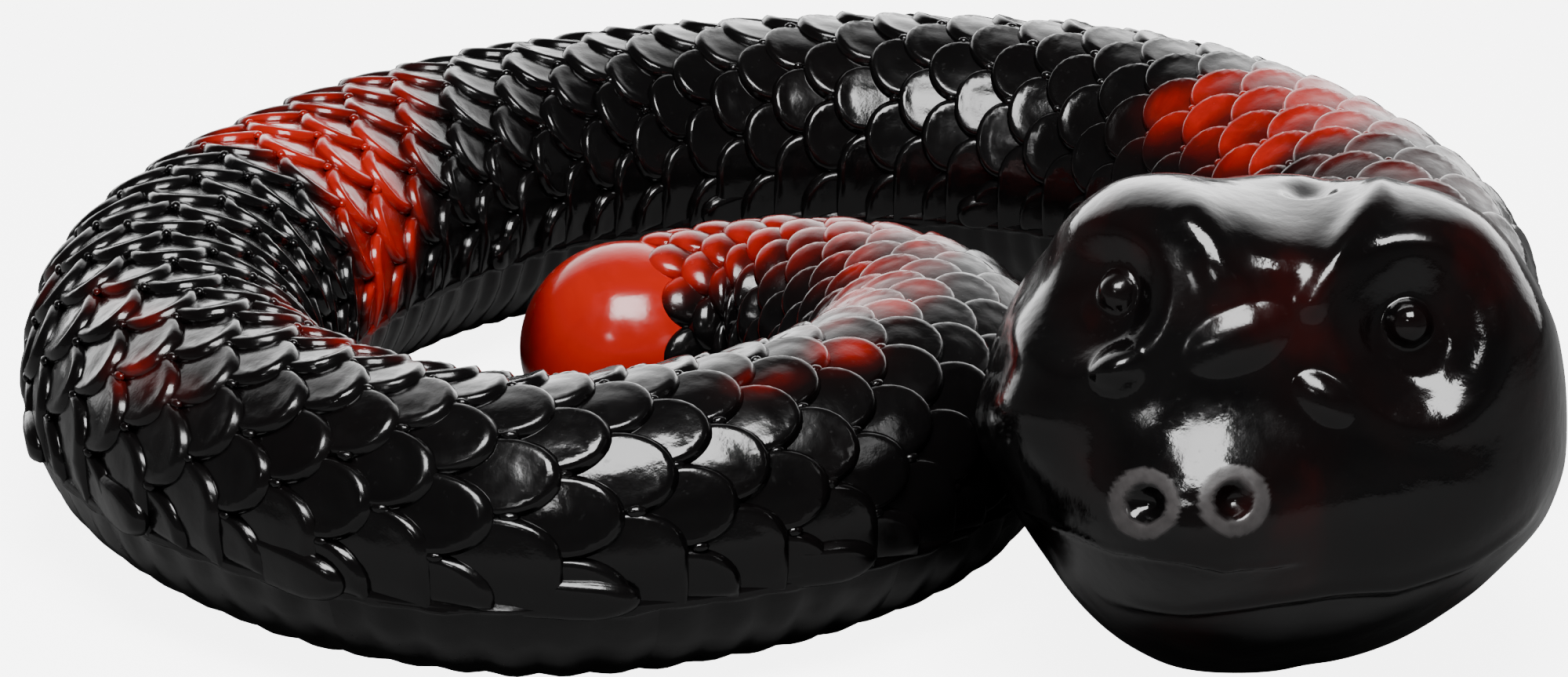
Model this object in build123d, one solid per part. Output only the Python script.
from build123d import *
import math
import os

# Posable soft snake, coiled flat. Millimetres, +Z up.
# Origin: under the middle of the coil's bounding box, on the plane it rests on.
# The snake is a chain: head, sixteen body lengths, tail. Every length is a rubber
# sleeve moulded around one link of a jointed spine, and every pair of neighbours
# turns about one upright steel pin. Headings are degrees from +X, head to tail.

# ---------------------------------------------------------------- driving dimensions
COIL_MIDDLE = (1.24, -8.83)  # middle of the coil's box in the coordinates below
BELLY_FLAT = 0.6             # depth of the flat the rubber rests on
LAP = 13.6                   # how far before a hinge a sleeve's rim ends
CUP_GAP = 0.3                # gap between a sleeve's cup and the next sleeve's dome

EYE_R = 5.2                  # outside radius of hinge eyes and fork ears
EYE_HALF = 2.3               # half thickness of the middle eye and its plate
EAR_IN = 2.6                 # inner face of a fork ear above or below the hinge plane
EAR_OUT = 6.0                # outer face of a fork ear, and half height of a block
PIN_R = 1.8                  # hinge pin radius
PIN_FIT = 0.05               # running clearance of the middle eye on the pin
EAR_FIT = 0.02               # clearance of the fork ears on the pin
HOLE_REACH = 20.0            # half length of the cutter for a pin hole
BLOCK_HALF_W = 4.0           # half width of a link's block
BLOCK_START = EYE_R + 0.5    # from the fork hinge to the block
EAR_ROOT = EYE_R + 1.0       # from the fork hinge to where the ears end in the block
BLOCK_SETBACK = 0.3          # between a block's end and the cup's bottom
PLATE_HALF_W = 2.8           # half width of the plate that carries the middle eye

MOULD_GAP = 0.1              # gap between a link and the rubber moulded around it
EYE_ROOM = 0.3               # gap around the eyes inside a dome
SLOT_SIDE_GAP = 0.4          # gaps around a plate swinging in its slot
SLOT_HEIGHT_GAP = 0.3
SLOT_SPARE_TURN = 1.5        # degrees past each end of the swing
SLOT_OVERREACH = 6.0         # how far the slot's cutter passes the dome
SLOT_BULGE = 1.15            # reach factor of the points along the cutter's outer edge
SLOT_STEP = 15               # degrees between those points, about

# Hinges from the neck to the tail: x, y of the axis, sleeve radius there, and how far
# the hinge opens and closes from the coiled rest, degrees.
HINGE_TABLE = [
    (80.00, -37.00, 21.00, -20, 0),
    (89.36, -4.79, 22.69, -38, 0),
    (82.41, 28.33, 23.03, -30, 0),
    (64.64, 57.11, 22.79, -34, 0),
    (36.78, 76.01, 22.31, -36, 0),
    (3.34, 80.80, 21.80, -31, 0),
    (-29.66, 73.42, 21.52, -34, 0),
    (-56.68, 53.26, 21.80, -29, 0),
    (-75.68, 25.15, 22.35, -24, 0),
    (-87.12, -6.70, 22.45, -33, 5),
    (-85.21, -40.35, 21.91, 0, 4),
    (-66.41, -68.24, 21.17, 0, 3),
    (-36.23, -82.12, 20.30, 0, 3),
    (-8.68, -74.48, 20.20, 0, 4),
    (12.76, -55.14, 20.00, 0, 4),
    (20.96, -29.17, 19.60, -50, 3),
    (10.15, -4.96, 18.60, -46, 6),
]

# Tail: x, y and radius
TAIL_MID = (-7.09, 4.64, 17.30)     # bend in the middle of the tail length
TAIL_TIP = (-23.42, 2.03, 15.60)    # middle of the round tail end
BULB_CUT = 5.0                      # from TAIL_TIP back to where the red end starts
TAIL_BLOCK_END = 11.0               # from the last hinge, like the next two
TAIL_PLATE = (10.0, 17.0)
TAIL_CROSSBAR = (15.0, 18.0)
TAIL_CROSSBAR_HALF_W = 6.0

# Head: x, y and height of middles; half length, half width and half height of sizes
HEAD_HEADING = 71.0                 # direction from nose to neck
SKULL = (66.2, -84.0, 26.2)         # middle of the jaws
SKULL_SIZE = (36.0, 38.5, 27.0)
BROW = (67.6, -66.5, 36.0)          # middle of the cranium
BROW_SIZE = (30.0, 29.5, 25.5)
THROAT_OFFSET = (2.5, 16.0)         # x, y from SKULL to the throat's wide end
THROAT_HEIGHT = 26.0
THROAT_R = 25.0                     # throat radius at the skull
THROAT_NECK_EXTRA = 1.0             # added to the sleeve radius at the neck
EYE_SOCKET_R = 9.5
EYE_SOCKET = (-54.0, 23.0, 27.0)    # from the neck hinge: along, to either side, up
ANCHOR_START = -50.0                # along the head's heading from the neck hinge
ANCHOR_BARBS = [(-48.0, -42.0), (-36.0, -30.0)]
BARB_HALF_W = 9.0

BIG = 600.0                         # size of the cutting boxes


# ---------------------------------------------------------------- places and headings
def placed(x, y, z):
    """A point moved to the part's frame."""
    return Vector(x - COIL_MIDDLE[0], y - COIL_MIDDLE[1], z)


def body_centre(x, y, radius):
    """Centre of a body section whose underside is cut by the belly flat."""
    return placed(x, y, radius - BELLY_FLAT)


def heading(start, end):
    return math.degrees(math.atan2(end.Y - start.Y, end.X - start.X))


def frame_at(point, degrees):
    """Upright frame at a point, its X axis along a heading."""
    turn = math.radians(degrees)
    return Plane(origin=point, x_dir=(math.cos(turn), math.sin(turn), 0), z_dir=(0, 0, 1))


HINGES = [body_centre(*row[:3]) for row in HINGE_TABLE]
RADII = [row[2] for row in HINGE_TABLE]
SWINGS = [row[3:] for row in HINGE_TABLE]
MID = body_centre(*TAIL_MID)
TIP = body_centre(*TAIL_TIP)

# Heading of each length: 0 is the head, then the body lengths, last the tail
COURSE = [HEAD_HEADING]
COURSE += [heading(start, end) for start, end in zip(HINGES, HINGES[1:] + [MID])]
TAIL = len(HINGES)                  # the tail's number in the chain


# ---------------------------------------------------------------- shared shapes
def bar(frame, start, end, half_w, bottom, top):
    middle = Pos((start + end) / 2, 0, (bottom + top) / 2)
    return frame * middle * Box(end - start, 2 * half_w, top - bottom)


def upright(frame, radius, bottom, top):
    return frame * Pos(0, 0, (bottom + top) / 2) * Cylinder(radius, top - bottom)


def pin_hole(frame, fit):
    return upright(frame, PIN_R + fit, -HOLE_REACH, HOLE_REACH)


def ball(at, radius):
    return Pos(at.X, at.Y, at.Z) * Sphere(radius)


def taper(start, end, start_r, end_r):
    """Straight tapering length between two centres."""
    axis = end - start
    cone = Cone(start_r, end_r, axis.length, align=(Align.CENTER, Align.CENTER, Align.MIN))
    return Plane(origin=start, z_dir=axis.normalized()) * cone


def half_space(at, degrees, offset, side):
    """Everything past (side 1) or before (side -1) a plane square to a heading."""
    return frame_at(at, degrees) * Pos(offset + side * BIG / 2, 0, 0) * Box(BIG, BIG, BIG)


FLOOR_CUT = Pos(0, 0, -50) * Box(BIG, BIG, 100)


def save(solid, name):
    # a boolean may give a list of solids, which is exported as one compound
    if isinstance(solid, ShapeList):
        solid = Compound(children=list(solid))
    solid.label = name
    export_step(solid, f"parts/{name}.step")


# ---------------------------------------------------------------- hinge parts
def fork_frame(number):
    """Frame of a length at its head-side hinge."""
    return frame_at(HINGES[number - 1], COURSE[number])


def fork_and_block(frame, block_end):
    """Two ears around a hinge and the block behind them."""
    part = bar(frame, BLOCK_START, block_end, BLOCK_HALF_W, -EAR_OUT, EAR_OUT)
    for bottom, top in ((EAR_IN, EAR_OUT), (-EAR_OUT, -EAR_IN)):
        part += upright(frame, EYE_R, bottom, top)
        part += bar(frame, 0, EAR_ROOT, BLOCK_HALF_W, bottom, top)
    return part


def fork_cavity(frame, block_end):
    half_h = EAR_OUT + MOULD_GAP
    room = upright(frame, EYE_R + EYE_ROOM, -half_h, half_h)
    room += bar(frame, 0, block_end + MOULD_GAP, BLOCK_HALF_W + MOULD_GAP, -half_h, half_h)
    return room


def previous_slot(number):
    """Room in a length's dome for the plate of the length before it, over its swing."""
    opened, closed = SWINGS[number - 1]
    rest = COURSE[number - 1] + 180 - COURSE[number]
    low = math.radians(rest - closed - SLOT_SPARE_TURN)
    high = math.radians(rest - opened + SLOT_SPARE_TURN)
    half_w = PLATE_HALF_W + SLOT_SIDE_GAP
    half_h = EYE_HALF + SLOT_HEIGHT_GAP
    reach = RADII[number - 1] + SLOT_OVERREACH

    first = (math.sin(low) * half_w, -math.cos(low) * half_w)
    last = (-math.sin(high) * half_w, math.cos(high) * half_w)
    points = [first, (first[0] + math.cos(low) * reach, first[1] + math.sin(low) * reach)]
    steps = max(2, int(math.degrees(high - low) // SLOT_STEP) + 1)
    for i in range(1, steps):
        turn = low + (high - low) * i / steps
        points.append((math.cos(turn) * reach * SLOT_BULGE,
                       math.sin(turn) * reach * SLOT_BULGE))
    points.append((last[0] + math.cos(high) * reach, last[1] + math.sin(high) * reach))
    points.append(last)
    face = make_face(Polyline(*points, close=True))
    return fork_frame(number) * Pos(0, 0, -half_h) * extrude(face, 2 * half_h)


def hinge_pin(number):
    return upright(fork_frame(number), PIN_R, -EAR_OUT, EAR_OUT)


# ---------------------------------------------------------------- body lengths
def link_layout(number):
    """Fork frame, level length, rise to the next hinge and end of the block."""
    start, end = HINGES[number - 1], HINGES[number]
    length = math.hypot(end.X - start.X, end.Y - start.Y)
    block_end = length - RADII[number] - CUP_GAP - BLOCK_SETBACK
    return fork_frame(number), length, end.Z - start.Z, block_end


def spine_link(number):
    """Fork at the head-side hinge, eye at the tail-side hinge."""
    here, length, rise, block_end = link_layout(number)
    there = frame_at(HINGES[number], COURSE[number])
    link = fork_and_block(here, block_end)
    link += bar(here, BLOCK_START, length, PLATE_HALF_W, rise - EYE_HALF, rise + EYE_HALF)
    link += upright(there, EYE_R, -EYE_HALF, EYE_HALF)
    link -= pin_hole(here, EAR_FIT)
    link -= pin_hole(there, PIN_FIT)
    return link


def sleeve_body(start, end, start_r, end_r):
    """Dome, tapering tube and cup of one sleeve, turned about the line between hinges."""
    axis = end - start
    length = axis.length
    along = axis.normalized()
    sideways = Vector(-along.Y, along.X, 0)
    plane = Plane(origin=start, x_dir=along, z_dir=along.cross(sideways))
    rim = length - LAP
    rim_r = start_r + (end_r - start_r) * rim / length
    cup_r = end_r + CUP_GAP
    cup_mouth = math.sqrt(cup_r ** 2 - LAP ** 2)
    diagonal = start_r * math.sqrt(0.5)
    half_turn = math.atan2(cup_mouth, LAP) / 2
    edges = [
        ThreePointArc((-start_r, 0), (-diagonal, diagonal), (0, start_r)),
        Line((0, start_r), (rim, rim_r)),
        Line((rim, rim_r), (rim, cup_mouth)),
        ThreePointArc((rim, cup_mouth),
                      (length - cup_r * math.cos(half_turn), cup_r * math.sin(half_turn)),
                      (length - cup_r, 0)),
        Line((length - cup_r, 0), (-start_r, 0)),
    ]
    return revolve(plane * make_face(edges), Axis(start, along), 360)


def skin_sleeve(number):
    """Dome at the head side, cup at the tail side, hollowed for the spine."""
    here, length, rise, block_end = link_layout(number)
    sleeve = sleeve_body(HINGES[number - 1], HINGES[number],
                         RADII[number - 1], RADII[number])
    sleeve -= FLOOR_CUT
    half_h = EYE_HALF + MOULD_GAP
    room = fork_cavity(here, block_end)
    room += bar(here, EYE_R, length, PLATE_HALF_W + MOULD_GAP, rise - half_h, rise + half_h)
    room += previous_slot(number)
    return sleeve - room


# ---------------------------------------------------------------- head
NECK = HINGES[0]
AT_NECK = frame_at(NECK, HEAD_HEADING)


def anchor_bars(gap):
    """Barbed block and eye plate of the head anchor, grown by a gap."""
    half_h = EAR_OUT + gap
    block_end = -(RADII[0] + CUP_GAP + BLOCK_SETBACK)
    bars = bar(AT_NECK, ANCHOR_START - gap, block_end + gap, BLOCK_HALF_W + gap,
               -half_h, half_h)
    for start, end in ANCHOR_BARBS:
        bars += bar(AT_NECK, start - gap, end + gap, BARB_HALF_W + gap, -half_h, half_h)
    bars += bar(AT_NECK, ANCHOR_START, 0, PLATE_HALF_W + gap,
                -EYE_HALF - gap, EYE_HALF + gap)
    return bars


def head_anchor():
    """Barbed plate moulded into the head, with the first eye at the neck."""
    anchor = anchor_bars(0)
    anchor += upright(AT_NECK, EYE_R, -EYE_HALF, EYE_HALF)
    anchor -= pin_hole(AT_NECK, PIN_FIT)
    return anchor


def ellipsoid(at, size):
    """Ellipsoid with its length along the head's heading."""
    return frame_at(placed(*at), HEAD_HEADING) * scale(Sphere(1.0), by=size)


def head_skin():
    head = ellipsoid(SKULL, SKULL_SIZE)
    head += ellipsoid(BROW, BROW_SIZE)
    throat = placed(SKULL[0] + THROAT_OFFSET[0], SKULL[1] + THROAT_OFFSET[1], THROAT_HEIGHT)
    head += taper(NECK, throat, RADII[0] + THROAT_NECK_EXTRA, THROAT_R)
    # the underside is level with the sleeves' flats
    head -= FLOOR_CUT
    # recessed eyes, one each side of the cranium's front
    along, sideways, up = EYE_SOCKET
    for side in (-1, 1):
        head -= ball((AT_NECK * Pos(along, side * sideways, up)).position, EYE_SOCKET_R)
    # rim and cup around the first sleeve's dome
    head -= half_space(NECK, HEAD_HEADING, -LAP, side=1)
    head -= ball(NECK, RADII[0] + CUP_GAP)
    return head - anchor_bars(MOULD_GAP)


# ---------------------------------------------------------------- tail
AT_ROOT = fork_frame(TAIL)
TIP_COURSE = heading(MID, TIP)


def add_crossbar(shape, gap):
    """Add the tail anchor's plate and crossbar, grown by a gap."""
    plate_start, plate_end = TAIL_PLATE
    start, end = TAIL_CROSSBAR
    shape += bar(AT_ROOT, plate_start, plate_end + gap, PLATE_HALF_W + gap,
                 -EYE_HALF - gap, EYE_HALF + gap)
    shape += bar(AT_ROOT, start - gap, end + gap, TAIL_CROSSBAR_HALF_W + gap,
                 -EAR_OUT - gap, EAR_OUT + gap)
    return shape


def tail_anchor():
    anchor = add_crossbar(fork_and_block(AT_ROOT, TAIL_BLOCK_END), 0)
    return anchor - pin_hole(AT_ROOT, EAR_FIT)


def tail_skin():
    root, root_r, mid_r = HINGES[-1], RADII[-1], TAIL_MID[2]
    tail = ball(root, root_r) + taper(root, MID, root_r, mid_r)
    tail += ball(MID, mid_r)
    tail += taper(MID, TIP, mid_r, TAIL_TIP[2])
    tail -= half_space(TIP, TIP_COURSE, -BULB_CUT, side=1)
    tail -= FLOOR_CUT
    room = add_crossbar(fork_cavity(AT_ROOT, TAIL_BLOCK_END), MOULD_GAP)
    room += previous_slot(TAIL)
    return tail - room


def tail_bulb():
    """Red rounded end."""
    bulb = ball(TIP, TAIL_TIP[2])
    bulb -= half_space(TIP, TIP_COURSE, -BULB_CUT, side=-1)
    bulb -= FLOOR_CUT
    return bulb


# ---------------------------------------------------------------- files
os.makedirs("parts", exist_ok=True)
for number in range(1, TAIL):
    save(spine_link(number), f"spine_link_{number:02d}")
    save(skin_sleeve(number), f"skin_sleeve_{number:02d}")
for number in range(1, TAIL + 1):
    save(hinge_pin(number), f"hinge_pin_{number:02d}")
for build in (head_anchor, head_skin, tail_anchor, tail_skin, tail_bulb):
    save(build(), build.__name__)
